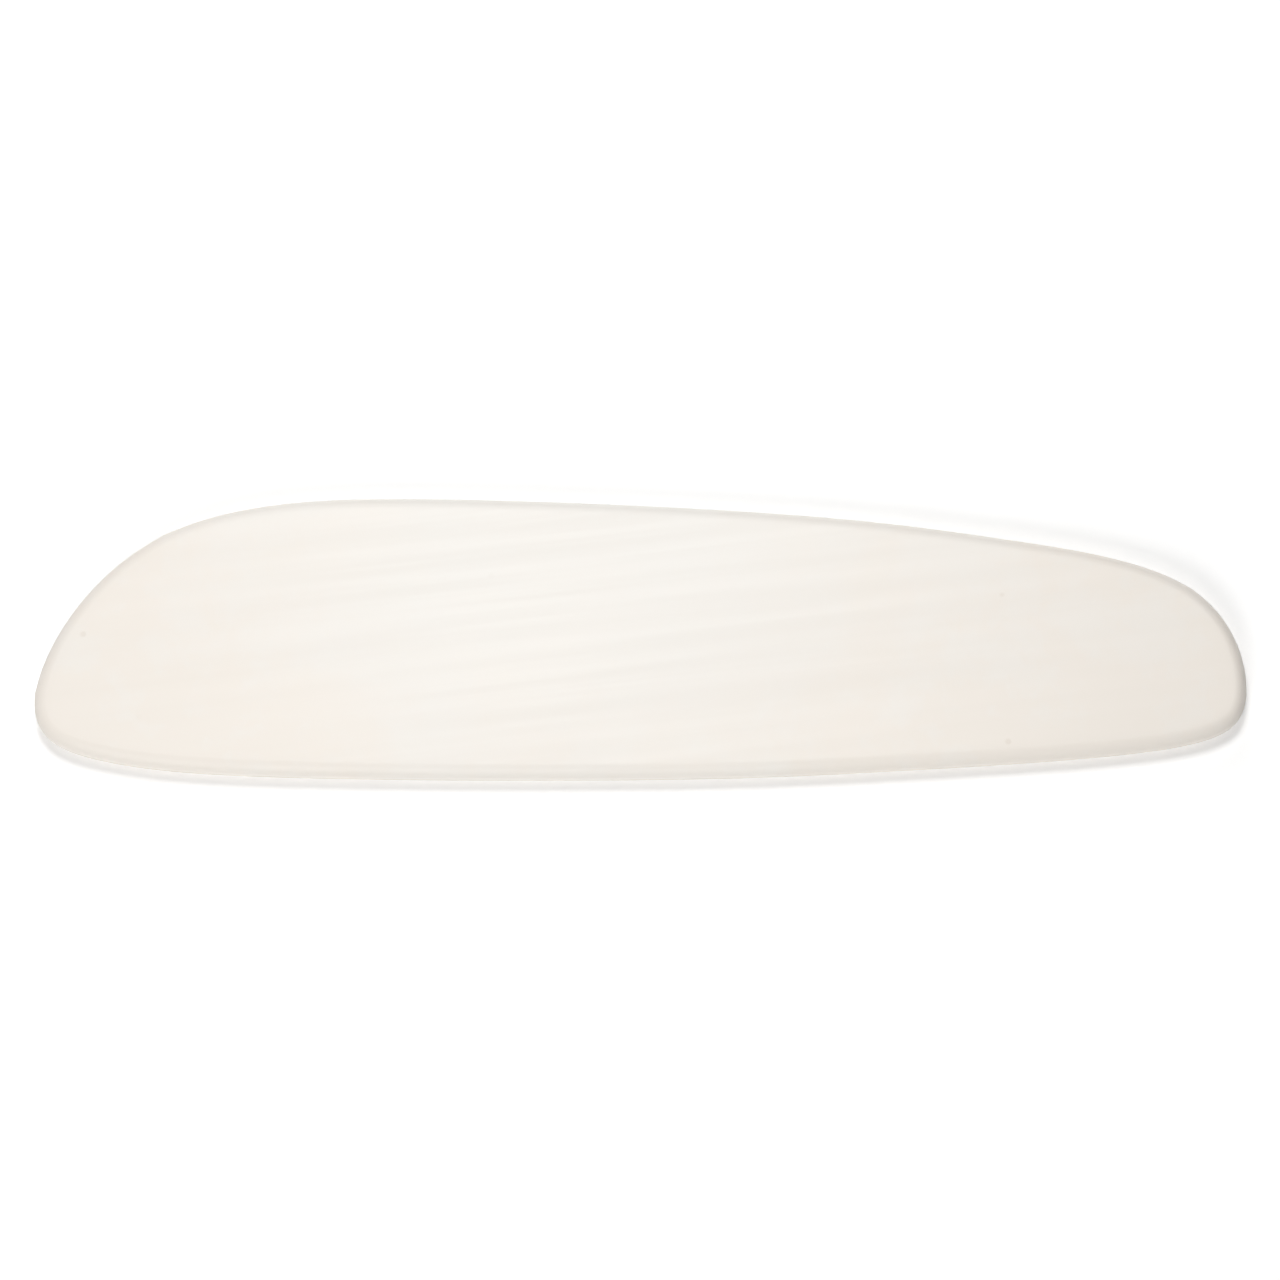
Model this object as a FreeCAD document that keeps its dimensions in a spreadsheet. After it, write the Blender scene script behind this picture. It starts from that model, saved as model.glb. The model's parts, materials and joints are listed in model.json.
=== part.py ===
import FreeCAD, Part
import os
import Sketcher

# Transfer board: a smooth free-form slide board that is lifted by hand and laid as a bridge
# between two seats. Two moulded shells meet at mid thickness and clamp a plywood panel.
# X runs along the board with the wide end at -X, Y runs across it, Z is up from the floor.
# Each shell is drawn from the seam plane, which is local z = 0 for the deck and the base.

SIZES = (
    ("board_length", "860"),
    ("board_width", "207"),
    ("board_thickness", "22"),
    ("edge_land", "1"),
    ("wall", "3.5"),
    ("lip_clearance", "0.3"),
    ("lip_width", "1.8"),
    ("lip_depth", "2.5"),
    ("lip_root_height", "4"),
    ("lip_root_overlap", "0.5"),
    ("lip_root_step", "0.8"),
    ("seal_width", "1.5"),
    ("seal_height", "1.6"),
    ("seal_clearance", "0.05"),
    ("core_edge_clearance", "1"),
    ("core_hole_clearance", "0.5"),
    ("core_chamfer", "0.6"),
    ("boss_radius", "6"),
    ("boss_drop", "2.5"),
    ("pad_thickness", "3"),
    ("pad_stand", "1.5"),
    ("pad_centre_share", "0.335"),
    ("pad_half_share", "0.075"),
    ("wide_pad_share", "0.27"),
    ("wide_pad_shift", "0"),
    ("narrow_pad_share", "0.2"),
    ("narrow_pad_shift", "-0.04"),
    ("pad_clearance", "0.2"),
    ("rib_pitch", "6"),
    ("rib_gap", "2"),
    ("rib_depth", "0.8"),
    ("thread_radius", "2"),
    ("thread_clearance", "0.05"),
    ("shank_clearance", "0.25"),
    ("head_radius", "4"),
    ("socket_flats", "2.5"),
    ("socket_depth", "1.3"),
    ("tip_chamfer", "0.4"),
    ("tip_margin", "1.3"),
    ("insert_radius", "2.8"),
    ("insert_waist_radius", "2.4"),
    ("insert_length", "8"),
    ("insert_hole_margin", "0.5"),
    ("plug_radius", "4.75"),
    ("plug_height", "1.2"),
    ("plug_stem_radius", "1.1"),
    ("plug_stem_height", "1"),
    ("plug_chamfer", "0.3"),
    ("half_thickness", "=board_thickness / 2"),
    ("edge_radius", "=half_thickness - edge_land"),
    ("seam_z", "=pad_stand + half_thickness"),
    ("core_height", "=board_thickness - 2 * wall"),
    ("lip_inset", "=wall + lip_clearance"),
    ("seal_inset", "=(wall - seal_width) / 2"),
    ("boss_face_z", "=seam_z - boss_drop"),
    ("head_z", "=pad_stand + plug_height"),
    ("screw_length", "=boss_face_z + insert_length - tip_margin - head_z"),
    ("rib_count", "=floor(2 * pad_half_share * board_length / rib_pitch) - 2"),
)

# Control points of the closed cubic outline, as shares of the length and of the width.
OUTLINE = (
    (-0.530, -0.309),   # wide end
    (-0.451, -0.443),
    (-0.332, -0.498),   # long front edge
    (0.046, -0.504),
    (0.190, -0.472),
    (0.468, -0.404),
    (0.511, -0.264),    # narrow end
    (0.484, 0.238),
    (0.298, 0.357),     # sloping back edge
    (0.164, 0.443),
    (-0.158, 0.510),
    (-0.426, 0.498),
)

# Screw bosses, as shares of the length and of the width, one row along each long edge.
BOSSES = (
    (-0.44, -0.315), (-0.22, -0.380), (0.00, -0.382), (0.22, -0.349), (0.44, -0.266),
    (-0.44, 0.071), (-0.22, 0.384), (0.00, 0.358), (0.22, 0.286), (0.44, 0.083),
)

# Control points of a grip pad's closed cubic outline, as shares of its half length and width.
PAD_OUTLINE = (
    (-1.05, -0.55), (-0.60, -1.05), (0.60, -1.05), (1.05, -0.55),
    (1.05, 0.55), (0.60, 1.05), (-0.60, 1.05), (-1.05, 0.55),
)

doc = FreeCAD.newDocument("transfer_board")


def fill_sheet():
    """Write every size once, with its name as the alias."""
    sheet = doc.addObject("Spreadsheet::Sheet", "Sizes")
    for row, (name, value) in enumerate(SIZES, 1):
        sheet.set("A%d" % row, name)
        sheet.set("B%d" % row, value)
        sheet.setAlias("B%d" % row, name)
    doc.recompute()
    return sheet


def value_of(expression):
    """Work out an expression as a plain number."""
    return float(sheet.evalExpression(expression))


def pin_centre(sketch, number, x, y):
    """Hold a circle's centre by two expressions."""
    for kind, expression in (("DistanceX", x), ("DistanceY", y)):
        hold = Sketcher.Constraint(kind, -1, 1, number, 3, value_of(expression))
        place = sketch.addConstraint(hold)
        sketch.setExpression("Constraints[%d]" % place, expression)


def on_board(x, y):
    """Place a point by its shares of the board's length and width."""
    return "Sizes.board_length * %.3f" % x, "Sizes.board_width * %.3f" % y


def on_pad(end, share, shift):
    """Place a pad's control points at one end of the board, -1 for wide and 1 for narrow."""
    x = "Sizes.board_length * (%d * Sizes.pad_centre_share + %.2f * Sizes.pad_half_share)"
    y = "Sizes.board_width * (Sizes.%s + %.2f * Sizes.%s)"
    return [(x % (end, u), y % (shift, v, share)) for u, v in PAD_OUTLINE]


def inward(places):
    """Find how far each control point moves for an inset of one, from the mitred polygon."""
    points = [FreeCAD.Vector(value_of(x), value_of(y), 0) for x, y in places]
    moves = []
    for number, point in enumerate(points):
        before = (point - points[number - 1]).normalize()
        after = (points[(number + 1) % len(points)] - point).normalize()
        left_before = FreeCAD.Vector(-before.y, before.x, 0)
        left_after = FreeCAD.Vector(-after.y, after.x, 0)
        both = left_before + left_after
        moves.append(both / (1 + left_before.dot(left_after)))
    return moves


def loop_sketch(body, name, places, insets, height=None):
    """Draw a closed cubic spline in a body for each inset of the loop: two make a band."""
    sketch = flat_sketch(body, name, height)
    moves = inward(places)
    for inset in insets:
        moved = []
        for (x, y), move in zip(places, moves):
            moved.append(("%s + (%s) * %.4f" % (x, inset, move.x),
                          "%s + (%s) * %.4f" % (y, inset, move.y)))
        poles = [FreeCAD.Vector(value_of(x), value_of(y), 0) for x, y in moved]
        curve = Part.BSplineCurve(poles, None, None, True, 3, None, False)
        spline = sketch.addGeometry(curve)
        sketch.exposeInternalGeometry(spline)
        for number, (x, y) in enumerate(moved, spline + 1):
            pin_centre(sketch, number, x, y)
    return sketch


def new_body(name, height=None):
    """Start a body, standing at a named height."""
    body = doc.addObject("PartDesign::Body", name)
    body.Label = name
    if height:
        body.setExpression("Placement.Base.z", height)
    return body


def flat_sketch(body, name, height=None):
    """Start a sketch on the body's own XY plane, lifted by an expression."""
    sketch = body.newObject("Sketcher::SketchObject", name)
    plane = [f for f in body.Origin.OriginFeatures if f.Role == "XY_Plane"][0]
    sketch.AttachmentSupport = [(plane, "")]
    sketch.MapMode = "FlatFace"
    if height:
        sketch.setExpression("AttachmentOffset.Base.z", height)
    return sketch


def extrude(body, kind, name, profile, length, reverse=False):
    """Pad or pocket a profile by an expression."""
    feature = body.newObject("PartDesign::" + kind, name)
    feature.Profile = (profile, [""])
    feature.setExpression("Length", length)
    feature.Reversed = reverse
    doc.recompute()
    return feature


def level_edges(feature, height):
    """Name the feature's edges that lie flat at a height."""
    names = []
    for number, edge in enumerate(feature.Shape.Edges, 1):
        box = edge.BoundBox
        if abs(edge.CenterOfMass.z - height) < 0.01 and box.ZLength < 0.5:
            names.append("Edge%d" % number)
    return names


def dress(body, kind, name, base, names, size_property, expression):
    """Fillet or chamfer named edges by an expression."""
    feature = body.newObject("PartDesign::" + kind, name)
    feature.Base = (base, names)
    feature.setExpression(size_property, expression)
    doc.recompute()
    return feature


def boss_circles(body, name, radius, height):
    """Draw a circle at every screw boss, all of one radius."""
    sketch = flat_sketch(body, name, height)
    for number, share in enumerate(BOSSES):
        x, y = on_board(*share)
        centre = FreeCAD.Vector(value_of(x), value_of(y), 0)
        sketch.addGeometry(Part.Circle(centre, FreeCAD.Vector(0, 0, 1), 2))
        pin_centre(sketch, number, x, y)
        if number:
            sketch.addConstraint(Sketcher.Constraint("Equal", 0, number))
    size = sketch.addConstraint(Sketcher.Constraint("Radius", 0, 2))
    sketch.setExpression("Constraints[%d]" % size, radius)
    return sketch


def moulded_shell(body, downwards):
    """Make half of the board's skin: outline, rounded rim and an even wall, open at the seam."""
    way = -1 if downwards else 1
    edge = loop_sketch(body, "board_edge", outline, ["0"])
    block = extrude(body, "Pad", "half_board", edge, "Sizes.half_thickness", downwards)
    rim = level_edges(block, way * sheet.half_thickness)
    dress(body, "Fillet", "rounded_rim", block, rim, "Radius", "Sizes.edge_radius")
    inside = loop_sketch(body, "inside_edge", outline, ["Sizes.wall"])
    hollow = extrude(body, "Pocket", "hollow", inside, "Sizes.half_thickness - Sizes.wall",
                     not downwards)
    corner = level_edges(hollow, way * (sheet.half_thickness - sheet.wall))
    return dress(body, "Fillet", "rounded_inside", hollow, corner, "Radius",
                 "Sizes.edge_radius - Sizes.wall")


def make_deck():
    """Upper shell: slide surface, locating lip inside the rim, and bosses for the inserts."""
    body = new_body("deck_shell", "Sizes.seam_z")
    moulded_shell(body, False)
    root = loop_sketch(body, "lip_root", outline, [
        "Sizes.wall - Sizes.lip_root_overlap",
        "Sizes.lip_inset + Sizes.lip_width + Sizes.lip_root_step"])
    extrude(body, "Pad", "lip_root_pad", root, "Sizes.lip_root_height")
    lip = loop_sketch(body, "lip", outline, [
        "Sizes.lip_inset",
        "Sizes.lip_inset + Sizes.lip_width"])
    extrude(body, "Pad", "lip_pad", lip, "Sizes.lip_depth", True)
    bosses = boss_circles(body, "boss_outline", "Sizes.boss_radius", "-Sizes.boss_drop")
    extrude(body, "Pad", "bosses", bosses,
            "Sizes.boss_drop + Sizes.half_thickness - Sizes.wall / 2")
    holes = boss_circles(body, "insert_hole_outline", "Sizes.insert_radius", "-Sizes.boss_drop")
    extrude(body, "Pocket", "insert_holes", holes,
            "Sizes.insert_length + Sizes.insert_hole_margin", True)
    return body


def make_base():
    """Lower shell: bosses that take the screws, a seal groove in the rim, recesses for the pads."""
    body = new_body("base_shell", "Sizes.seam_z")
    moulded_shell(body, True)
    bosses = boss_circles(body, "boss_outline", "Sizes.boss_radius", "-Sizes.boss_drop")
    extrude(body, "Pad", "bosses", bosses,
            "Sizes.half_thickness - Sizes.boss_drop - Sizes.wall / 2", True)
    groove = loop_sketch(body, "seal_groove_outline", outline, [
        "Sizes.seal_inset - Sizes.seal_clearance",
        "Sizes.seal_inset + Sizes.seal_width + Sizes.seal_clearance"])
    extrude(body, "Pocket", "seal_groove", groove, "Sizes.seal_height")
    wells = boss_circles(body, "plug_well_outline", "Sizes.plug_radius", "-Sizes.half_thickness")
    extrude(body, "Pocket", "plug_wells", wells, "Sizes.plug_height", True)
    shanks = boss_circles(
        body, "screw_hole_outline", "Sizes.thread_radius + Sizes.shank_clearance",
        "Sizes.plug_height - Sizes.half_thickness")
    extrude(body, "Pocket", "screw_holes", shanks, "Sizes.half_thickness", True)
    seats = boss_circles(
        body, "head_seat_outline", "Sizes.head_radius",
        "Sizes.plug_height - Sizes.half_thickness")
    cone = extrude(body, "Pocket", "head_seats", seats,
                   "Sizes.head_radius - Sizes.thread_radius - Sizes.shank_clearance", True)
    cone.TaperAngle = -45
    doc.recompute()
    return body


def make_core():
    """Plywood panel clamped between the shells, with clearance holes for the bosses."""
    body = new_body("core_panel", "Sizes.pad_stand + Sizes.wall")
    edge = loop_sketch(body, "panel_outline", outline,
                       ["Sizes.edge_radius + Sizes.core_edge_clearance"])
    panel = extrude(body, "Pad", "panel", edge, "Sizes.core_height")
    rims = level_edges(panel, 0) + level_edges(panel, sheet.core_height)
    dress(body, "Chamfer", "eased_edges", panel, rims, "Size", "Sizes.core_chamfer")
    holes = boss_circles(
        body, "boss_hole_outline", "Sizes.boss_radius + Sizes.core_hole_clearance", None)
    extrude(body, "Pocket", "boss_holes", holes, "Sizes.core_height", True)
    return body


def make_seal():
    """Soft cord that fills the groove in the base and meets the deck at the seam plane."""
    body = new_body("seam_seal", "Sizes.seam_z")
    band = loop_sketch(body, "seal_outline", outline,
                       ["Sizes.seal_inset", "Sizes.seal_inset + Sizes.seal_width"])
    extrude(body, "Pad", "seal", band, "Sizes.seal_height", True)
    return body


def strip_sketch(body, name, near, far):
    """Draw a strip right across the board, between two places along it."""
    sketch = flat_sketch(body, name)
    west = value_of(near)
    east = value_of(far)
    wide = sheet.board_width
    corners = [(west, -wide), (east, -wide), (east, wide), (west, wide)]
    for number in range(4):
        start = FreeCAD.Vector(*corners[number], 0)
        stop = FreeCAD.Vector(*corners[(number + 1) % 4], 0)
        sketch.addGeometry(Part.LineSegment(start, stop))
    for number in range(4):
        meet = Sketcher.Constraint("Coincident", number, 2, (number + 1) % 4, 1)
        sketch.addConstraint(meet)
    for number, way in enumerate(("Horizontal", "Vertical", "Horizontal", "Vertical")):
        sketch.addConstraint(Sketcher.Constraint(way, number))
    holds = (
        ("DistanceX", 3, 2, near),
        ("DistanceX", 0, 2, far),
        ("DistanceY", 0, 1, "-Sizes.board_width"),
        ("DistanceY", 2, 1, "Sizes.board_width"),
    )
    for kind, line, point, expression in holds:
        hold = Sketcher.Constraint(kind, -1, 1, line, point, value_of(expression))
        place = sketch.addConstraint(hold)
        sketch.setExpression("Constraints[%d]" % place, expression)
    return sketch


def make_grip_pad(name, pad_outline, end):
    """Rubber pad let into the underside at one end, ribbed across the board."""
    body = new_body(name)
    edge = loop_sketch(body, "sole_outline", pad_outline, ["0"])
    extrude(body, "Pad", "block", edge, "Sizes.pad_thickness")
    middle = "Sizes.board_length * %d * Sizes.pad_centre_share" % end
    first = middle + " - (Sizes.rib_count - 1) / 2 * Sizes.rib_pitch"
    gap = strip_sketch(body, "rib_gap_outline",
                       first + " - Sizes.rib_gap / 2", first + " + Sizes.rib_gap / 2")
    groove = extrude(body, "Pocket", "rib_gap", gap, "Sizes.rib_depth", True)
    rows = body.newObject("PartDesign::LinearPattern", "rib_gaps")
    rows.Originals = [groove]
    rows.Direction = (gap, ["H_Axis"])
    rows.setExpression("Length", "(Sizes.rib_count - 1) * Sizes.rib_pitch")
    rows.setExpression("Occurrences", "Sizes.rib_count")
    body.Tip = rows
    doc.recompute()
    return body


def sink_pad(body, name, pad_outline):
    """Recess the underside for a pad, a clearance larger than the pad all round."""
    edge = loop_sketch(body, name, pad_outline, ["-Sizes.pad_clearance"], "-Sizes.half_thickness")
    extrude(body, "Pocket", name + "_recess", edge, "Sizes.pad_thickness - Sizes.pad_stand", True)


def solid_of(body, kind, name, z, **sizes):
    """Add a round or prismatic primitive to a body at local height z."""
    feature = body.newObject("PartDesign::" + kind, name)
    for size, expression in sizes.items():
        feature.setExpression(size, expression)
    feature.setExpression("Placement.Base.z", z)
    doc.recompute()
    return feature


def one_screw():
    """Countersunk screw, head down at local z = 0, with a hexagon socket."""
    body = new_body("single_screw")
    solid_of(body, "AdditiveCylinder", "shank", "0",
             Radius="Sizes.thread_radius", Height="Sizes.screw_length")
    shank = body.Tip
    tip = level_edges(shank, sheet.screw_length)
    dress(body, "Chamfer", "tip", shank, tip, "Size", "Sizes.tip_chamfer")
    solid_of(body, "AdditiveCone", "head", "0", Radius1="Sizes.head_radius",
             Radius2="Sizes.thread_radius", Height="Sizes.head_radius - Sizes.thread_radius")
    socket = solid_of(body, "SubtractivePrism", "socket", "0", Height="Sizes.socket_depth",
                      Circumradius="Sizes.socket_flats / 2 / cos(30)")
    socket.Polygon = 6
    doc.recompute()
    return body


def one_insert():
    """Waisted brass insert, its mouth at local z = 0."""
    body = new_body("single_insert")
    solid_of(body, "AdditiveCylinder", "waist", "0",
             Radius="Sizes.insert_waist_radius", Height="Sizes.insert_length")
    solid_of(body, "AdditiveCylinder", "mouth_collar", "0",
             Radius="Sizes.insert_radius", Height="Sizes.insert_length * 0.4")
    solid_of(body, "AdditiveCylinder", "far_collar", "Sizes.insert_length * 0.6",
             Radius="Sizes.insert_radius", Height="Sizes.insert_length * 0.4")
    solid_of(body, "SubtractiveCylinder", "thread_bore", "0",
             Radius="Sizes.thread_radius + Sizes.thread_clearance", Height="Sizes.insert_length")
    return body


def one_plug():
    """Soft plug flush with the underside, its stem standing in the screw's socket."""
    body = new_body("single_plug")
    solid_of(body, "AdditiveCylinder", "cap", "0",
             Radius="Sizes.plug_radius", Height="Sizes.plug_height")
    cap = body.Tip
    dress(body, "Chamfer", "eased_cap", cap, level_edges(cap, 0), "Size", "Sizes.plug_chamfer")
    solid_of(body, "AdditiveCylinder", "stem", "0", Radius="Sizes.plug_stem_radius",
             Height="Sizes.plug_height + Sizes.plug_stem_height")
    return body


def at_every_boss(name, single, height):
    """Repeat a piece at each boss, as one group of separate solids."""
    copies = []
    for number, share in enumerate(BOSSES, 1):
        x, y = on_board(*share)
        copy = doc.addObject("App::Link", "%s_%d" % (name, number))
        copy.LinkedObject = single
        copy.setExpression("Placement.Base.x", x)
        copy.setExpression("Placement.Base.y", y)
        copy.setExpression("Placement.Base.z", height)
        copies.append(copy)
    group = doc.addObject("Part::Compound", name)
    group.Label = name
    group.Links = copies
    doc.recompute()
    return group


def write_out(nodes):
    """Refuse any broken object, then write one file for each piece."""
    for item in doc.Objects:
        if "Invalid" in item.State or "Error" in item.State:
            raise RuntimeError("%s did not build" % item.Name)
        if hasattr(item, "Shape") and item.Shape.isNull():
            raise RuntimeError("%s is empty" % item.Name)
    os.makedirs("parts", exist_ok=True)
    for node in nodes:
        if not node.Shape.isValid() or not node.Shape.Solids:
            raise RuntimeError("%s is not a valid solid" % node.Label)
        node.Shape.exportStep("parts/%s.step" % node.Label)
        print(node.Label, len(node.Shape.Solids), "solids", round(node.Shape.Volume), "mm3")


sheet = fill_sheet()
outline = [on_board(x, y) for x, y in OUTLINE]
wide_pad = on_pad(-1, "wide_pad_share", "wide_pad_shift")
narrow_pad = on_pad(1, "narrow_pad_share", "narrow_pad_shift")
deck_shell = make_deck()
base_shell = make_base()
sink_pad(base_shell, "wide_pad", wide_pad)
sink_pad(base_shell, "narrow_pad", narrow_pad)
core_panel = make_core()
seam_seal = make_seal()
grip_pad_wide = make_grip_pad("grip_pad_wide", wide_pad, -1)
grip_pad_narrow = make_grip_pad("grip_pad_narrow", narrow_pad, 1)
cover_screws = at_every_boss("cover_screws", one_screw(), "Sizes.head_z")
threaded_inserts = at_every_boss("threaded_inserts", one_insert(), "Sizes.boss_face_z")
screw_plugs = at_every_boss("screw_plugs", one_plug(), "Sizes.pad_stand")
write_out([deck_shell, base_shell, core_panel, seam_seal, grip_pad_wide, grip_pad_narrow,
           cover_screws, threaded_inserts, screw_plugs])
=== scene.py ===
import bpy
import json
import math
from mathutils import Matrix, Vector

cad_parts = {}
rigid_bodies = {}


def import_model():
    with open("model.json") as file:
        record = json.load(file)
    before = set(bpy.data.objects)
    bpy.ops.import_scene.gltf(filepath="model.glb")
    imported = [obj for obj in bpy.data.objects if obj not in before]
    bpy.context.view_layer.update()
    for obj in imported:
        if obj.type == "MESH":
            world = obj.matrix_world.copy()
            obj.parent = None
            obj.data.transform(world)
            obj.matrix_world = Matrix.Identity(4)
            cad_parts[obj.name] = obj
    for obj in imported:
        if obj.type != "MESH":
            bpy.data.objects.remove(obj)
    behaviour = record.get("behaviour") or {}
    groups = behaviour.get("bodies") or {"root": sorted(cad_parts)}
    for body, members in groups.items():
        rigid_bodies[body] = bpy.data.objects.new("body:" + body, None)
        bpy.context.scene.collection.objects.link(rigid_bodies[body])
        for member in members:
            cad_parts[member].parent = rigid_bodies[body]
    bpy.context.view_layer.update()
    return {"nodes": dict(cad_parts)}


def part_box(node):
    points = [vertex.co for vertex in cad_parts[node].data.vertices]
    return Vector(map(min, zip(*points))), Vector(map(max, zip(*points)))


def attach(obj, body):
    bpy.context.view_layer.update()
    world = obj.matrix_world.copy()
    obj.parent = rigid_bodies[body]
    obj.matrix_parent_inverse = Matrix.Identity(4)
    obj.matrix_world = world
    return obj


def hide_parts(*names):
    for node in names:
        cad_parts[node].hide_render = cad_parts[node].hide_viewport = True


# Transfer board: a cream moulded slide board, wide at one end and narrow at the other.
# X runs along it, Y across it and Z up. Lengths are in metres.

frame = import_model()

# ---------------------------------------------------------------- measures

BOARD_LENGTH = 0.860
BOARD_WIDTH = 0.207
EDGE_LAND = 0.001
WALL = 0.0035
SEAM_BREAK = 0.00025
FLAT_MARGIN = 0.003

LIP_CLEARANCE = 0.0003
LIP_WIDTH = 0.0018
LIP_ROOT_STEP = 0.0008
LIP_DEPTH = 0.0025
GROOVE_INSET = 0.00095
GROOVE_WIDTH = 0.0016
GROOVE_DEPTH = 0.0016
CEILING_RADIUS = 0.0034
INNER_RADIUS = 0.0062

BOSS_RADIUS = 0.006
INSERT_RADIUS = 0.0028
INSERT_HOLE_DEPTH = 0.0085
SHANK_HOLE_RADIUS = 0.00225
HEAD_RADIUS = 0.004
PLUG_RADIUS = 0.00475
PLUG_EASE = 0.0003
PLUG_BREAK = 0.0001
DIMPLE_RADIUS = 0.00145
DIMPLE_RING = 0.0004
DIMPLE_DEPTH = 0.0002
STEM_RADIUS = 0.0011
STEM_HEIGHT = 0.001
CUT_MARGIN = 0.001

# Grip pads: place and half length as shares of the board's length, then for each pad its
# half width and its shift across, as shares of the board's width.
PAD_REACH = 0.335
PAD_HALF_LENGTH = 0.075
WIDE_PAD = (0.27, 0.0)
NARROW_PAD = (0.20, -0.04)

PAD_CLEARANCE = 0.0002
SOLE_RADIUS = 0.0004
RIB_PITCH = 0.006
RIB_GAP = 0.002
RIB_DEPTH = 0.0008
RIB_EASE = 0.0003
RIB_COUNT = 19

DECK_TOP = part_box("deck_shell")[1].z
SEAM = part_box("base_shell")[1].z
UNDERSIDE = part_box("base_shell")[0].z
HALF = DECK_TOP - SEAM
RIM_RADIUS = HALF - EDGE_LAND
BOSS_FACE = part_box("deck_shell")[0].z
HEAD_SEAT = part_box("cover_screws")[0].z
PAD_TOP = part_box("grip_pad_wide")[1].z

# Control points of the board's outline, as shares of its length and of its width.
OUTLINE = (
    (-0.530, -0.309), (-0.451, -0.443), (-0.332, -0.498), (0.046, -0.504),
    (0.190, -0.472), (0.468, -0.404), (0.511, -0.264), (0.484, 0.238),
    (0.298, 0.357), (0.164, 0.443), (-0.158, 0.510), (-0.426, 0.498),
)

# Screw bosses, in the same shares, one row along each long edge.
BOSSES = (
    (-0.44, -0.315), (-0.22, -0.380), (0.00, -0.382), (0.22, -0.349), (0.44, -0.266),
    (-0.44, 0.071), (-0.22, 0.384), (0.00, 0.358), (0.22, 0.286), (0.44, 0.083),
)

# Control points of a pad's outline, as shares of its half length and of its half width.
PAD_OUTLINE = (
    (-1.05, -0.55), (-0.60, -1.05), (0.60, -1.05), (1.05, -0.55),
    (1.05, 0.55), (0.60, 1.05), (-0.60, 1.05), (-1.05, 0.55),
)

board_points = [(x * BOARD_LENGTH, y * BOARD_WIDTH) for x, y in OUTLINE]
boss_points = [(x * BOARD_LENGTH, y * BOARD_WIDTH) for x, y in BOSSES]


# ---------------------------------------------------------------- bench tools

def clear_selection():
    """Let go of everything, in object mode."""
    if bpy.context.object and bpy.context.object.mode != "OBJECT":
        bpy.ops.object.mode_set(mode="OBJECT")
    bpy.ops.object.select_all(action="DESELECT")


def hold(piece):
    """Select one piece and make it the active one."""
    clear_selection()
    piece.select_set(True)
    bpy.context.view_layer.objects.active = piece


def open_edit(piece, mode="FACE"):
    """Go into edit mode on a piece with nothing selected."""
    hold(piece)
    bpy.ops.object.mode_set(mode="EDIT")
    bpy.ops.mesh.select_mode(type=mode)
    bpy.ops.mesh.select_all(action="DESELECT")


def close_edit():
    bpy.ops.object.mode_set(mode="OBJECT")


def pick_faces(piece, test):
    """Select the faces that pass a test, in edit mode."""
    bpy.ops.mesh.select_mode(type="FACE")
    bpy.ops.mesh.select_all(action="DESELECT")
    bpy.ops.object.mode_set(mode="OBJECT")
    for face in piece.data.polygons:
        face.select = test(face)
    bpy.ops.object.mode_set(mode="EDIT")


def pick_edges(piece, test):
    """Select the edges whose two ends pass a test, in edit mode."""
    bpy.ops.mesh.select_mode(type="EDGE")
    bpy.ops.mesh.select_all(action="DESELECT")
    bpy.ops.object.mode_set(mode="OBJECT")
    points = piece.data.vertices
    for edge in piece.data.edges:
        edge.select = test(points[edge.vertices[0]].co, points[edge.vertices[1]].co)
    bpy.ops.object.mode_set(mode="EDIT")


def finish_with(piece, kind, **settings):
    """Add a modifier and apply it."""
    hold(piece)
    modifier = piece.modifiers.new(kind.lower(), kind)
    for name, value in settings.items():
        setattr(modifier, name, value)
    bpy.ops.object.modifier_apply(modifier=modifier.name)


def join(pieces, name):
    """Join loose pieces into one object."""
    clear_selection()
    for piece in pieces:
        piece.select_set(True)
    bpy.context.view_layer.objects.active = pieces[0]
    bpy.ops.object.join()
    pieces[0].name = name
    return pieces[0]


def settle(piece):
    """Leave the piece's place in its mesh and its object at the origin."""
    hold(piece)
    bpy.ops.object.transform_apply(location=True, rotation=True, scale=True)


def tidy_normals(piece):
    open_edit(piece)
    bpy.ops.mesh.select_all(action="SELECT")
    bpy.ops.mesh.normals_make_consistent(inside=False)
    close_edit()


def smooth(piece, degrees=32):
    hold(piece)
    bpy.ops.object.shade_smooth_by_angle(angle=math.radians(degrees))


def flat_at(z):
    """Test for a level face at a height."""
    return lambda face: abs(face.center.z - z) < 1e-5 and abs(face.normal.z) > 0.999


def edge_at(z):
    """Test for an edge that lies at a height."""
    return lambda a, b: abs(a.z - z) < 1e-5 and abs(b.z - z) < 1e-5


# ---------------------------------------------------------------- shaping

def smooth_plate(name, points, z, levels=5):
    """Make a flat plate whose rim is the closed curve that the corner points pull smooth."""
    clear_selection()
    bpy.ops.mesh.primitive_circle_add(vertices=len(points), radius=0.1, fill_type="NGON")
    plate = bpy.context.object
    plate.name = name
    for corner, (x, y) in zip(plate.data.vertices, points):
        corner.co = (x, y, z)
    finish_with(plate, "SUBSURF", levels=levels, render_levels=levels)
    open_edit(plate)
    bpy.ops.mesh.select_all(action="SELECT")
    bpy.ops.mesh.dissolve_faces()
    close_edit()
    return plate


def raise_plate(plate, height):
    """Extrude a flat plate into a closed block."""
    open_edit(plate)
    bpy.ops.mesh.select_all(action="SELECT")
    bpy.ops.mesh.extrude_region_move(TRANSFORM_OT_translate={"value": (0, 0, height)})
    close_edit()
    tidy_normals(plate)


def round_loop(piece, z, radius, segments):
    """Round over every edge that lies at a height."""
    open_edit(piece, "EDGE")
    pick_edges(piece, edge_at(z))
    bpy.ops.mesh.bevel(offset=radius, offset_type="OFFSET", segments=segments, profile=0.5,
                       clamp_overlap=False, affect="EDGES")
    close_edit()


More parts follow.
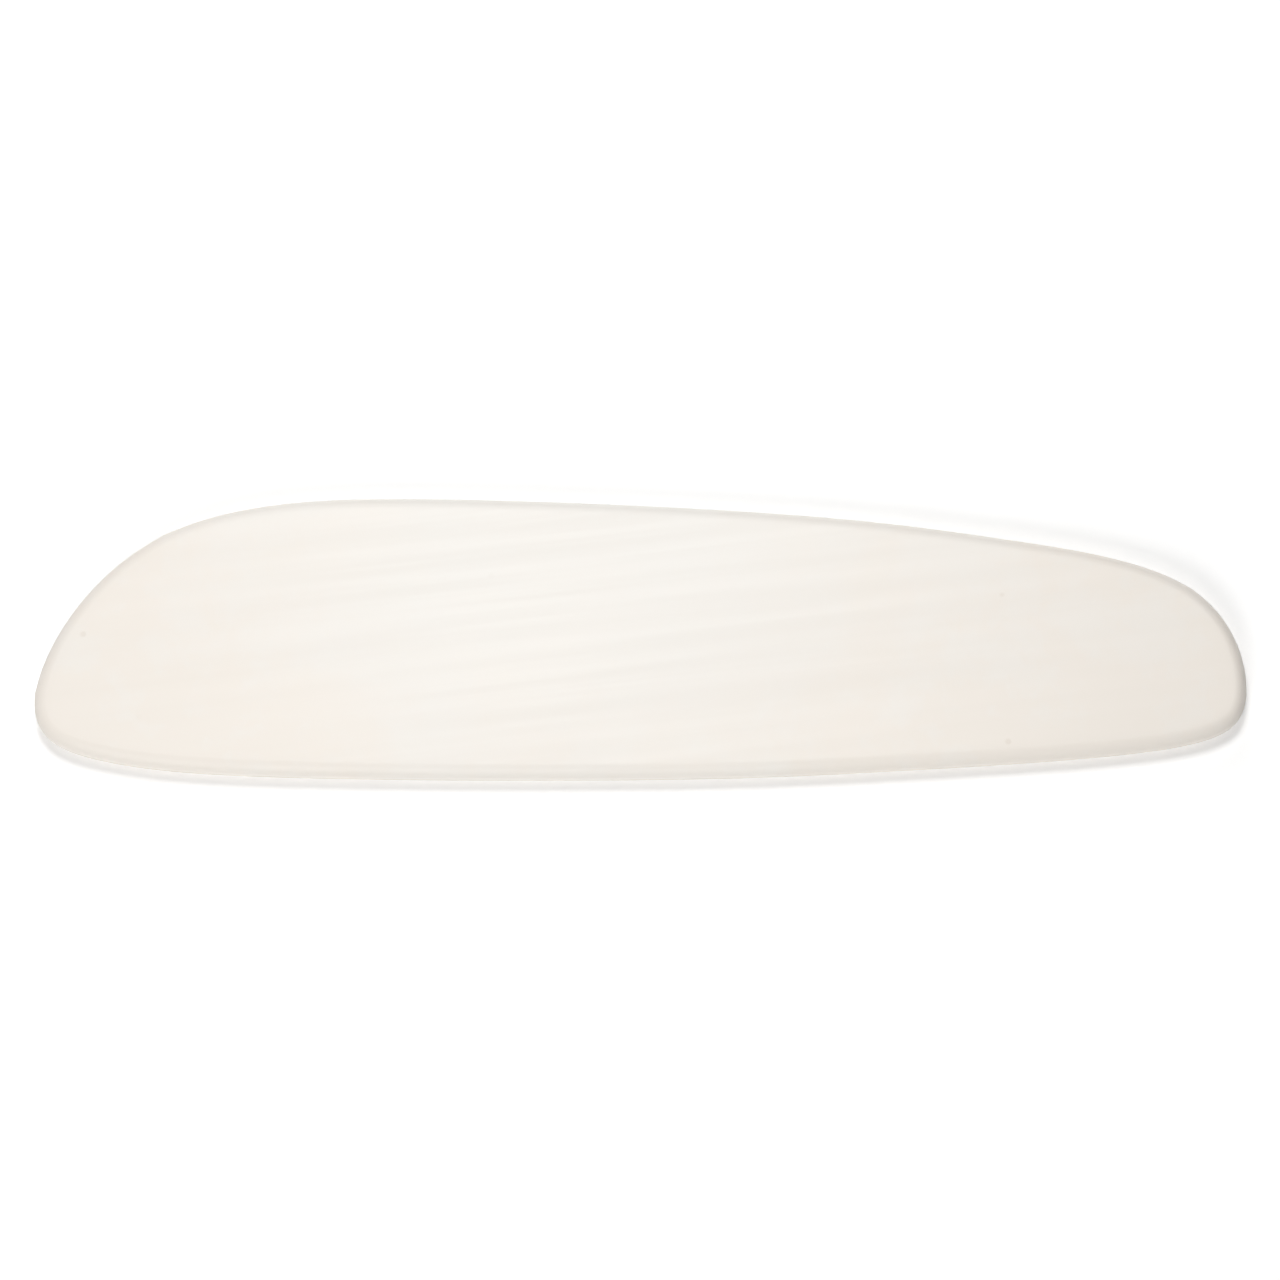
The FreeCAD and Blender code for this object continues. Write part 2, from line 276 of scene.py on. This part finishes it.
def step_in(piece, z, thickness):
    """Inset the largest level face at a height, and leave the inner face selected."""
    pick_faces(piece, flat_at(z))
    keep_largest(piece)
    bpy.ops.mesh.inset(thickness=thickness, use_even_offset=True)


def keep_largest(piece, keep=True):
    """Of the selected faces keep only the largest, or only the others."""
    bpy.ops.object.mode_set(mode="OBJECT")
    chosen = [face for face in piece.data.polygons if face.select]
    largest = max(chosen, key=lambda face: face.area)
    for face in chosen:
        face.select = (face.index == largest.index) == keep
    bpy.ops.object.mode_set(mode="EDIT")


def push_ring(piece, width, depth):
    """Inset the selected face and extrude only the ring that this makes."""
    bpy.ops.mesh.inset(thickness=width, use_even_offset=True)
    bpy.ops.mesh.select_more()
    keep_largest(piece, keep=False)
    push(depth)


def push(height):
    """Extrude the selected faces up or down."""
    bpy.ops.mesh.extrude_region_move(TRANSFORM_OT_translate={"value": (0, 0, height)})


def rods(name, radius, low, high, vertices=48):
    """Stand one rod at every screw boss."""
    made = []
    for x, y in boss_points:
        clear_selection()
        bpy.ops.mesh.primitive_cylinder_add(vertices=vertices, radius=radius, depth=high - low,
                                            location=(x, y, (low + high) / 2))
        made.append(bpy.context.object)
    group = join(made, name)
    settle(group)
    return group


def combine(piece, tool, operation):
    """Add a tool's shape to a piece or take it away."""
    finish_with(piece, "BOOLEAN", object=tool, operation=operation, solver="EXACT")
    bpy.data.objects.remove(tool)


def half_board(name, way):
    """Mould one half of the skin, way is 1 for the deck and -1 for the base."""
    shell = smooth_plate(name, board_points, SEAM)
    raise_plate(shell, way * HALF)
    outer = SEAM + way * HALF
    round_loop(shell, outer, RIM_RADIUS, 16)
    round_loop(shell, SEAM, SEAM_BREAK, 2)
    open_edit(shell)
    step_in(shell, outer, FLAT_MARGIN)
    return shell


def mould_deck():
    """Upper skin: rounded rim, inner lip, hollow and insert bosses."""
    shell = half_board("deck_skin", 1)
    step_in(shell, SEAM, WALL + LIP_CLEARANCE - SEAM_BREAK)
    push_ring(shell, LIP_WIDTH, -LIP_DEPTH)
    step_in(shell, SEAM, LIP_ROOT_STEP)
    push(HALF - WALL)
    close_edit()
    round_loop(shell, DECK_TOP - WALL, CEILING_RADIUS, 6)
    combine(shell, rods("bosses", BOSS_RADIUS, BOSS_FACE, DECK_TOP - WALL / 2), "UNION")
    holes = rods("insert_holes", INSERT_RADIUS, BOSS_FACE - CUT_MARGIN, BOSS_FACE + INSERT_HOLE_DEPTH)
    combine(shell, holes, "DIFFERENCE")
    tidy_normals(shell)
    smooth(shell)
    return shell


def mould_base():
    """Lower skin: rounded rim, seal groove, hollow, screw bosses and pad recesses."""
    shell = half_board("base_skin", -1)
    step_in(shell, SEAM, GROOVE_INSET - SEAM_BREAK)
    push_ring(shell, GROOVE_WIDTH, -GROOVE_DEPTH)
    step_in(shell, SEAM, WALL - GROOVE_INSET - GROOVE_WIDTH)
    push(WALL - HALF)
    close_edit()
    round_loop(shell, UNDERSIDE + WALL, INNER_RADIUS, 8)
    combine(shell, rods("bosses", BOSS_RADIUS, UNDERSIDE + WALL / 2, BOSS_FACE), "UNION")
    wells = rods("plug_wells", PLUG_RADIUS, UNDERSIDE - CUT_MARGIN, HEAD_SEAT, 64)
    combine(shell, wells, "DIFFERENCE")
    holes = rods("screw_holes", SHANK_HOLE_RADIUS, HEAD_SEAT - CUT_MARGIN / 2, BOSS_FACE + CUT_MARGIN)
    combine(shell, holes, "DIFFERENCE")
    combine(shell, head_seats(), "DIFFERENCE")
    for name, end in (("wide_recess", -1), ("narrow_recess", 1)):
        recess = smooth_plate(name, pad_points(end, PAD_CLEARANCE), UNDERSIDE - CUT_MARGIN, 4)
        raise_plate(recess, PAD_TOP - UNDERSIDE + CUT_MARGIN)
        combine(shell, recess, "DIFFERENCE")
    tidy_normals(shell)
    smooth(shell)
    return shell


def head_seats():
    """Cones that cut the screw heads' seats."""
    made = []
    for x, y in boss_points:
        clear_selection()
        depth = HEAD_RADIUS - SHANK_HOLE_RADIUS
        bpy.ops.mesh.primitive_cone_add(vertices=48, radius1=HEAD_RADIUS, radius2=SHANK_HOLE_RADIUS,
                                        depth=depth, location=(x, y, HEAD_SEAT + depth / 2))
        made.append(bpy.context.object)
    seats = join(made, "head_seats")
    settle(seats)
    return seats


def pad_points(end, grow):
    """Control points of the grip pad at one end, -1 for the wide end and 1 for the narrow."""
    share, shift = WIDE_PAD if end < 0 else NARROW_PAD
    half_length = PAD_HALF_LENGTH * BOARD_LENGTH + grow
    half_width = share * BOARD_WIDTH + grow
    middle = (end * PAD_REACH * BOARD_LENGTH, shift * BOARD_WIDTH)
    return [(middle[0] + u * half_length, middle[1] + v * half_width) for u, v in PAD_OUTLINE]


def mould_pad(name, end):
    """Rubber pad with an eased sole and rounded ribs across the board."""
    pad = smooth_plate(name, pad_points(end, 0.0), PAD_TOP, 4)
    raise_plate(pad, -PAD_TOP)
    round_loop(pad, 0.0, SOLE_RADIUS, 3)
    first_gap = end * PAD_REACH * BOARD_LENGTH - (RIB_COUNT - 1) / 2 * RIB_PITCH
    clear_selection()
    bpy.ops.mesh.primitive_cube_add(size=1, location=(first_gap, 0, 0.0))
    gap = bpy.context.object
    gap.scale = (RIB_GAP, 2 * BOARD_WIDTH, 2 * RIB_DEPTH)
    settle(gap)
    finish_with(gap, "ARRAY", count=RIB_COUNT, use_relative_offset=False, use_constant_offset=True,
                constant_offset_displace=(RIB_PITCH, 0, 0))
    combine(pad, gap, "DIFFERENCE")
    finish_with(pad, "BEVEL", width=RIB_EASE, segments=2, limit_method="ANGLE",
                angle_limit=math.radians(50))
    tidy_normals(pad)
    smooth(pad)
    return pad


def turn_plugs():
    """Soft plugs, each with an eased rim, a shallow pull dimple and a stem."""
    clear_selection()
    bpy.ops.mesh.primitive_cylinder_add(vertices=64, radius=PLUG_RADIUS, depth=HEAD_SEAT - UNDERSIDE,
                                        location=(0, 0, (HEAD_SEAT + UNDERSIDE) / 2))
    plug = bpy.context.object
    settle(plug)
    round_loop(plug, UNDERSIDE, PLUG_EASE, 3)
    open_edit(plug)
    step_in(plug, UNDERSIDE, PLUG_RADIUS - PLUG_EASE - DIMPLE_RING - DIMPLE_RADIUS)
    bpy.ops.mesh.inset(thickness=DIMPLE_RING)
    push(DIMPLE_DEPTH)
    bpy.ops.mesh.inset(thickness=DIMPLE_RING * 1.5)
    step_in(plug, HEAD_SEAT, PLUG_RADIUS - STEM_RADIUS)
    push(STEM_HEIGHT)
    close_edit()
    finish_with(plug, "BEVEL", width=PLUG_BREAK, segments=2, limit_method="ANGLE",
                angle_limit=math.radians(50))
    made = [plug]
    for x, y in boss_points[1:]:
        clear_selection()
        plug.select_set(True)
        bpy.context.view_layer.objects.active = plug
        bpy.ops.object.duplicate(linked=False)
        copy = bpy.context.object
        copy.location = (x, y, 0)
        made.append(copy)
    plug.location = (boss_points[0][0], boss_points[0][1], 0)
    plugs = join(made, "rim_plugs")
    settle(plugs)
    tidy_normals(plugs)
    smooth(plugs)
    return plugs


# ---------------------------------------------------------------- shared finishes

def new_group(name, inputs, outputs):
    """Start a shader node group with named number inputs and outputs."""
    group = bpy.data.node_groups.new(name, "ShaderNodeTree")
    for label, value in inputs:
        socket = group.interface.new_socket(name=label, in_out="INPUT", socket_type="NodeSocketFloat")
        socket.default_value = value
    for label in outputs:
        group.interface.new_socket(name=label, in_out="OUTPUT", socket_type="NodeSocketFloat")
    start = group.nodes.new("NodeGroupInput")
    end = group.nodes.new("NodeGroupOutput")
    start.location = (-1400, 0)
    end.location = (600, 0)
    return group, start, end


class Bench:
    """Places and wires nodes in one tree, left to right."""

    def __init__(self, tree):
        self.tree = tree
        self.count = 0

    def node(self, kind, **settings):
        made = self.tree.nodes.new(kind)
        self.count += 1
        made.location = (-1200 + 190 * (self.count % 9), 320 - 240 * (self.count // 9))
        for name, value in settings.items():
            setattr(made, name, value)
        return made

    def wire(self, output, target):
        self.tree.links.new(output, target)

    def reckon(self, kind, first, second):
        """Do one step of arithmetic on two values, each a socket or a number."""
        made = self.node("ShaderNodeMath", operation=kind)
        for slot, value in ((0, first), (1, second)):
            if isinstance(value, (int, float)):
                made.inputs[slot].default_value = value
            else:
                self.wire(value, made.inputs[slot])
        return made.outputs[0]

    def spread(self, value, low, high, to_low=0.0, to_high=1.0):
        """Map a range smoothly to another."""
        made = self.node("ShaderNodeMapRange", interpolation_type="SMOOTHSTEP")
        self.wire(value, made.inputs["Value"])
        made.inputs["From Min"].default_value = low
        made.inputs["From Max"].default_value = high
        made.inputs["To Min"].default_value = to_low
        made.inputs["To Max"].default_value = to_high
        return made.outputs["Result"]

    def noise(self, vector, scale, detail, roughness=0.5):
        made = self.node("ShaderNodeTexNoise")
        self.wire(vector, made.inputs["Vector"])
        made.inputs["Scale"].default_value = scale
        made.inputs["Detail"].default_value = detail
        made.inputs["Roughness"].default_value = roughness
        return made.outputs["Fac"]

    def mapped(self, vector, scale):
        made = self.node("ShaderNodeMapping")
        self.wire(vector, made.inputs["Vector"])
        made.inputs["Scale"].default_value = scale
        return made.outputs["Vector"]

    def blend(self, amount, first, second):
        """Mix two colours, each a socket or a colour."""
        made = self.node("ShaderNodeMix", data_type="RGBA")
        if isinstance(amount, (int, float)):
            made.inputs[0].default_value = amount
        else:
            self.wire(amount, made.inputs[0])
        for slot, value in ((6, first), (7, second)):
            if isinstance(value, tuple):
                made.inputs[slot].default_value = (*value, 1)
            else:
                self.wire(value, made.inputs[slot])
        return made.outputs[2]


def cloudy_tone():
    """Group: soft uneven clouds in a hand-finished surface, large and small."""
    group, start, end = new_group("cloudy_tone", (("Size", 14.0), ("Contrast", 1.0)), ("Clouds", "Flecks"))
    bench = Bench(group)
    place = bench.node("ShaderNodeTexCoord").outputs["Object"]
    large = bench.node("ShaderNodeTexNoise")
    bench.wire(place, large.inputs["Vector"])
    bench.wire(start.outputs["Size"], large.inputs["Scale"])
    large.inputs["Detail"].default_value = 3.0
    small = bench.noise(place, 95.0, 5.0, 0.62)
    both = bench.reckon("ADD", bench.reckon("MULTIPLY", large.outputs["Fac"], 0.72),
                        bench.reckon("MULTIPLY", small, 0.28))
    centred = bench.reckon("SUBTRACT", both, 0.5)
    raised = bench.reckon("MULTIPLY", centred, start.outputs["Contrast"])
    clouds = bench.spread(bench.reckon("ADD", raised, 0.5), 0.30, 0.70)
    bench.wire(clouds, end.inputs["Clouds"])
    cells = bench.node("ShaderNodeTexVoronoi", feature="F1")
    bench.wire(place, cells.inputs["Vector"])
    cells.inputs["Scale"].default_value = 30.0
    dots = bench.spread(cells.outputs["Distance"], 0.035, 0.09, 1.0, 0.0)
    sparse = bench.spread(bench.noise(place, 6.0, 1.0), 0.52, 0.60)
    bench.wire(bench.reckon("MULTIPLY", dots, sparse), end.inputs["Flecks"])
    return group


def rubbed_lines():
    """Group: faint lines left by rubbing down, at a slight slant to the length."""
    group, start, end = new_group("rubbed_lines", (("Slant", 0.25), ("Fineness", 1.0)), ("Lines", "Height"))
    bench = Bench(group)
    place = bench.node("ShaderNodeTexCoord").outputs["Object"]
    turned = bench.node("ShaderNodeVectorRotate", rotation_type="Z_AXIS")
    bench.wire(place, turned.inputs["Vector"])
    bench.wire(start.outputs["Slant"], turned.inputs["Angle"])
    drawn = bench.mapped(turned.outputs["Vector"], (2.2, 70.0, 8.0))
    scaled = bench.node("ShaderNodeVectorMath", operation="SCALE")
    bench.wire(drawn, scaled.inputs[0])
    bench.wire(start.outputs["Fineness"], scaled.inputs["Scale"])
    broad = bench.noise(scaled.outputs["Vector"], 1.0, 4.0, 0.6)
    hair = bench.noise(bench.mapped(scaled.outputs["Vector"], (1.5, 6.0, 1.0)), 1.0, 2.0, 0.5)
    mixed = bench.reckon("ADD", bench.reckon("MULTIPLY", broad, 0.65),
                         bench.reckon("MULTIPLY", hair, 0.35))
    bench.wire(bench.spread(mixed, 0.36, 0.66), end.inputs["Lines"])
    bench.wire(mixed, end.inputs["Height"])
    return group


def fine_grain():
    """Group: the small bumps of a moulded or a rubber surface."""
    group, start, end = new_group("fine_grain", (("Size", 900.0),), ("Grain",))
    bench = Bench(group)
    place = bench.node("ShaderNodeTexCoord").outputs["Object"]
    grain = bench.node("ShaderNodeTexNoise")
    bench.wire(place, grain.inputs["Vector"])
    bench.wire(start.outputs["Size"], grain.inputs["Scale"])
    grain.inputs["Detail"].default_value = 3.0
    bench.wire(grain.outputs["Fac"], end.inputs["Grain"])
    return group


def seam_darkening():
    """Group: a patchy darker band along the seam, by height."""
    group, start, end = new_group("seam_darkening", (("Seam", 0.0125), ("Reach", 0.0012)), ("Darkening",))
    bench = Bench(group)
    place = bench.node("ShaderNodeTexCoord").outputs["Object"]
    parts = bench.node("ShaderNodeSeparateXYZ")
    bench.wire(place, parts.inputs[0])
    away = bench.reckon("ABSOLUTE", bench.reckon("SUBTRACT", parts.outputs["Z"], start.outputs["Seam"]), 0)
    near = bench.node("ShaderNodeMapRange", interpolation_type="SMOOTHSTEP")
    bench.wire(away, near.inputs["Value"])
    near.inputs["From Min"].default_value = 0.0
    bench.wire(start.outputs["Reach"], near.inputs["From Max"])
    near.inputs["To Min"].default_value = 1.0
    near.inputs["To Max"].default_value = 0.0
    patch = bench.spread(bench.noise(place, 24.0, 3.0), 0.35, 0.7, 0.35, 1.0)
    bench.wire(bench.reckon("MULTIPLY", near.outputs["Result"], patch), end.inputs["Darkening"])
    return group


def painted_falloff():
    """Group: painted shade, a darker warm tone growing towards both ends and the near edge where the light
    falls off, broken up by noise.
    """
    group, start, end = new_group("painted_falloff", (("Begin", 0.06), ("Full", 0.36)), ("Painted_shade",))
    bench = Bench(group)
    place = bench.node("ShaderNodeTexCoord").outputs["Object"]
    parts = bench.node("ShaderNodeSeparateXYZ")
    bench.wire(place, parts.inputs[0])
    # Painted shade grows with distance from just left of the middle, where the light is brightest.
    along = bench.reckon("ABSOLUTE", bench.reckon("ADD", parts.outputs["X"], 0.05), 0)
    reach = bench.node("ShaderNodeMapRange", interpolation_type="SMOOTHSTEP")
    bench.wire(along, reach.inputs["Value"])
    bench.wire(start.outputs["Begin"], reach.inputs["From Min"])
    bench.wire(start.outputs["Full"], reach.inputs["From Max"])
    # Painted shade also grows towards the near edge, at minus Y.
    across = bench.spread(bench.reckon("MULTIPLY", parts.outputs["Y"], -1.0), -0.02, 0.11, 0.0, 0.55)
    patch = bench.spread(bench.noise(place, 20.0, 5.0, 0.62), 0.34, 0.66, 0.45, 1.30)
    total = bench.reckon("ADD", reach.outputs["Result"], across)
    bench.wire(bench.reckon("MINIMUM", bench.reckon("MULTIPLY", total, patch), 1.0), end.inputs["Painted_shade"])
    return group


SHARED = {"clouds": cloudy_tone(), "lines": rubbed_lines(), "grain": fine_grain(), "seam_dark": seam_darkening(),
          "ends": painted_falloff()}


def use_group(bench, key, **values):
    """Place a shared group with its own values."""
    made = bench.node("ShaderNodeGroup", node_tree=SHARED[key])
    for label, value in values.items():
        made.inputs[label].default_value = value
    return made


def new_material(name, roughness, **sockets):
    """Start a material, with the constants set on the shader's own sockets."""
    material = bpy.data.materials.new(name)
    material.use_nodes = True
    shader = material.node_tree.nodes["Principled BSDF"]
    shader.inputs["Roughness"].default_value = roughness
    for label, value in sockets.items():
        shader.inputs[label.replace("_", " ")].default_value = value
    return material, shader, Bench(material.node_tree)


def bump_into(bench, shader, height, strength, distance):
    made = bench.node("ShaderNodeBump")
    made.inputs["Strength"].default_value = strength
    made.inputs["Distance"].default_value = distance
    bench.wire(height, made.inputs["Height"])
    bench.wire(made.outputs["Normal"], shader.inputs["Normal"])


def cream_skin(name, cream, blush, shade_and_line_tone, slant):
    """Satin cream skin, rubbed down by hand: cloudy, faintly lined and flecked, darker along the seam, with
    painted shade towards both ends and the near edge.
    """
    material, shader, bench = new_material(name, 0.46, Specular_IOR_Level=0.42)
    clouds = use_group(bench, "clouds", Size=13.0, Contrast=0.75)
    lines = use_group(bench, "lines", Slant=slant, Fineness=1.0)
    # Painted shade: a darker, warmer tone towards both ends and the near edge, standing in for light
    # falling off.
    ends = use_group(bench, "ends", Begin=0.06, Full=0.36)
    grain = use_group(bench, "grain", Size=1400.0)
    seam_dark = use_group(bench, "seam_dark", Seam=SEAM, Reach=0.0011)
    cloudy = bench.blend(clouds.outputs["Clouds"], blush, cream)
    # Blends the painted shade tone in by the falloff mask. A darker copy of the same tone colours the
    # rubbed lines.
    tone = bench.blend(bench.reckon("MULTIPLY", ends.outputs["Painted_shade"], 0.95), cloudy, shade_and_line_tone)
    lined = bench.blend(bench.reckon("MULTIPLY", lines.outputs["Lines"], 0.08), tone,
                        tuple(value * 0.95 for value in shade_and_line_tone))
    flecked = bench.blend(bench.reckon("MULTIPLY", clouds.outputs["Flecks"], 0.20), lined,
                          (0.62, 0.52, 0.42))
    # Darkens a patchy band within the reach of the seam's height towards a brown-grey.
    seam_darkened = bench.blend(bench.reckon("MULTIPLY", seam_dark.outputs["Darkening"], 0.55), flecked,
                         (0.34, 0.29, 0.23))
    bench.wire(seam_darkened, shader.inputs["Base Color"])
    rough = bench.reckon("ADD", bench.spread(lines.outputs["Lines"], 0.0, 1.0, 0.42, 0.50),
                         bench.reckon("MULTIPLY", clouds.outputs["Clouds"], 0.05))
    bench.wire(rough, shader.inputs["Roughness"])
    height = bench.reckon("ADD", bench.reckon("MULTIPLY", lines.outputs["Height"], 0.28),
                          bench.reckon("ADD", bench.reckon("MULTIPLY", clouds.outputs["Clouds"], 0.6),
                                       bench.reckon("MULTIPLY", grain.outputs["Grain"], 0.10)))
    bump_into(bench, shader, height, 0.35, 0.00012)
    return material


def soft_rubber(name, dark, light, roughness):
    """Matt rubber, finely grained and a little chalky where it is handled."""
    material, shader, bench = new_material(name, roughness, Specular_IOR_Level=0.3)
    clouds = use_group(bench, "clouds", Size=95.0, Contrast=1.0)
    grain = use_group(bench, "grain", Size=2600.0)
    bench.wire(bench.blend(clouds.outputs["Clouds"], dark, light), shader.inputs["Base Color"])
    bench.wire(bench.spread(clouds.outputs["Clouds"], 0.0, 1.0, roughness - 0.06, roughness + 0.06),
               shader.inputs["Roughness"])
    bump_into(bench, shader, grain.outputs["Grain"], 0.5, 0.00010)
    return material


def birch_plywood():
    """Bare sanded birch plywood: long face grain, and glued plies seen on the edges."""
    material, shader, bench = new_material("birch_plywood", 0.6, Specular_IOR_Level=0.35)
    place = bench.node("ShaderNodeTexCoord").outputs["Object"]
    lines = use_group(bench, "lines", Slant=0.03, Fineness=3.0)
    clouds = use_group(bench, "clouds", Size=9.0, Contrast=1.0)
    face = bench.blend(lines.outputs["Lines"], (0.50, 0.34, 0.19), (0.70, 0.53, 0.34))
    face = bench.blend(bench.reckon("MULTIPLY", clouds.outputs["Clouds"], 0.3), face, (0.74, 0.58, 0.39))
    parts = bench.node("ShaderNodeSeparateXYZ")
    bench.wire(place, parts.inputs[0])
    ply = bench.reckon("FRACT", bench.reckon("MULTIPLY", parts.outputs["Z"], 357.0), 0)
    dark_ply = bench.spread(ply, 0.46, 0.54)
    turn = bench.node("ShaderNodeNewGeometry")
    faced = bench.node("ShaderNodeSeparateXYZ")
    bench.wire(turn.outputs["Normal"], faced.inputs[0])
    upright = bench.spread(bench.reckon("ABSOLUTE", faced.outputs["Z"], 0), 0.3, 0.7, 1.0, 0.0)
    shown = bench.reckon("MULTIPLY", dark_ply, bench.reckon("MULTIPLY", upright, 0.75))
    bench.wire(bench.blend(shown, face, (0.36, 0.23, 0.12)), shader.inputs["Base Color"])
    bump_into(bench, shader, lines.outputs["Height"], 0.4, 0.00015)
    return material


def turned_metal(name, colour, tarnish, roughness):
    """Machined metal with turning marks and light tarnish."""
    material, shader, bench = new_material(name, roughness, Metallic=1.0)
    lines = use_group(bench, "lines", Slant=1.2, Fineness=14.0)
    clouds = use_group(bench, "clouds", Size=220.0, Contrast=1.3)
    bench.wire(bench.blend(bench.reckon("MULTIPLY", clouds.outputs["Clouds"], 0.6), colour, tarnish),
               shader.inputs["Base Color"])
    bench.wire(bench.spread(lines.outputs["Lines"], 0.0, 1.0, roughness - 0.08, roughness + 0.1),
               shader.inputs["Roughness"])
    bump_into(bench, shader, lines.outputs["Height"], 0.3, 0.00003)
    return material


def dress_in(piece, material):
    """Give a piece one material."""
    piece.data.materials.clear()
    piece.data.materials.append(material)


# ---------------------------------------------------------------- the board

# The fourth colour of each skin is the painted shade tone for the ends and the near edge. It is also the
# base of the rubbed lines' colour.
cream_deck = cream_skin("cream_deck", (0.930, 0.903, 0.858), (0.915, 0.877, 0.825),
                        (0.925, 0.864, 0.792), -0.12)
cream_base = cream_skin("cream_base", (0.920, 0.888, 0.838), (0.905, 0.862, 0.805),
                        (0.912, 0.850, 0.778), -0.06)
grip_rubber = soft_rubber("grip_rubber", (0.030, 0.031, 0.033), (0.060, 0.060, 0.062), 0.78)
plug_rubber = soft_rubber("plug_rubber", (0.62, 0.57, 0.49), (0.70, 0.65, 0.57), 0.66)
seal_rubber = soft_rubber("seal_rubber", (0.30, 0.26, 0.21), (0.38, 0.33, 0.27), 0.72)
plywood = birch_plywood()
zinc_steel = turned_metal("zinc_steel", (0.62, 0.62, 0.63), (0.42, 0.41, 0.38), 0.32)
brass = turned_metal("brass", (0.78, 0.58, 0.26), (0.50, 0.34, 0.15), 0.30)

pieces = (
    (mould_deck(), "deck_shell", "shell", cream_deck),
    (mould_base(), "base_shell", "shell", cream_base),
    (mould_pad("wide_grip", -1), "grip_pad_wide", "grip_rubber", grip_rubber),
    (mould_pad("narrow_grip", 1), "grip_pad_narrow", "grip_rubber", grip_rubber),
    (turn_plugs(), "screw_plugs", "plug_rubber", plug_rubber),
)
for piece, node, slot, material in pieces:
    dress_in(piece, material)
    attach(piece, "root")
    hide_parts(node)

for node, material in (("core_panel", plywood), ("seam_seal", seal_rubber),
                       ("cover_screws", zinc_steel), ("threaded_inserts", brass)):
    dress_in(frame["nodes"][node], material)


# ---------------------------------------------------------------- studio

FLOOR_SIZE = 14
FLOOR_GAP = 0.0002
SENSOR_WIDTH = 36.0     # millimetres
LENS = 100.0            # millimetres
CAMERA_TILT = math.radians(15)
VIEW_WIDTH = 0.9125
VIEW_CENTRE = Vector((-0.0007, -0.0010, SEAM))


def lay_floor():
    """A plain pale floor, far wider than the board."""
    clear_selection()
    bpy.ops.mesh.primitive_plane_add(size=FLOOR_SIZE, location=(0, 0, -FLOOR_GAP))
    floor = bpy.context.object
    floor.name = "studio_floor"
    settle(floor)
    material, shader, _ = new_material("pale_floor", 0.9, Specular_IOR_Level=0.1)
    shader.inputs["Base Color"].default_value = (0.93, 0.93, 0.93, 1)
    shader.inputs["Emission Color"].default_value = (1, 1, 1, 1)
    shader.inputs["Emission Strength"].default_value = 0.23
    dress_in(floor, material)


def soft_light(name, place, aim, width, depth, watts, colour):
    """A soft box that points at a place."""
    clear_selection()
    bpy.ops.object.light_add(type="AREA", location=place)
    lamp = bpy.context.object
    lamp.name = name
    lamp.data.shape = "RECTANGLE"
    lamp.data.size = width
    lamp.data.size_y = depth
    lamp.data.energy = watts
    lamp.data.color = colour
    lamp.rotation_euler = (Vector(place) - Vector(aim)).to_track_quat("Z", "Y").to_euler()


def set_camera():
    """Look down on the board from a little in front of it, all of it in view."""
    clear_selection()
    distance = VIEW_WIDTH * LENS / SENSOR_WIDTH
    away = Vector((0, -math.sin(CAMERA_TILT), math.cos(CAMERA_TILT)))
    bpy.ops.object.camera_add(location=VIEW_CENTRE + away * distance, rotation=(CAMERA_TILT, 0, 0))
    camera = bpy.context.object
    camera.data.lens = LENS
    camera.data.sensor_width = SENSOR_WIDTH
    camera.data.clip_end = 60.0
    bpy.context.scene.camera = camera


def light_room(strength):
    world = bpy.data.worlds.new("pale_room")
    bpy.context.scene.world = world
    world.use_nodes = True
    background = world.node_tree.nodes["Background"]
    background.inputs["Color"].default_value = (1.0, 0.99, 0.975, 1)
    background.inputs["Strength"].default_value = strength


lay_floor()
soft_light("over_board", (-0.06, 0.85, 2.50), (-0.05, 0, 0), 0.8, 0.8, 37.8, (1.0, 1.0, 0.995))
soft_light("front_fill", (-0.60, -2.20, 1.70), (0, 0, 0), 1.7, 1.2, 42.0, (1.0, 1.0, 0.995))
soft_light("back_fill", (-0.60, 2.20, 1.50), (0, 0, 0), 1.7, 1.2, 18.0, (1.0, 1.0, 1.0))
light_room(0.03)
set_camera()
bpy.context.scene.view_settings.view_transform = "Standard"
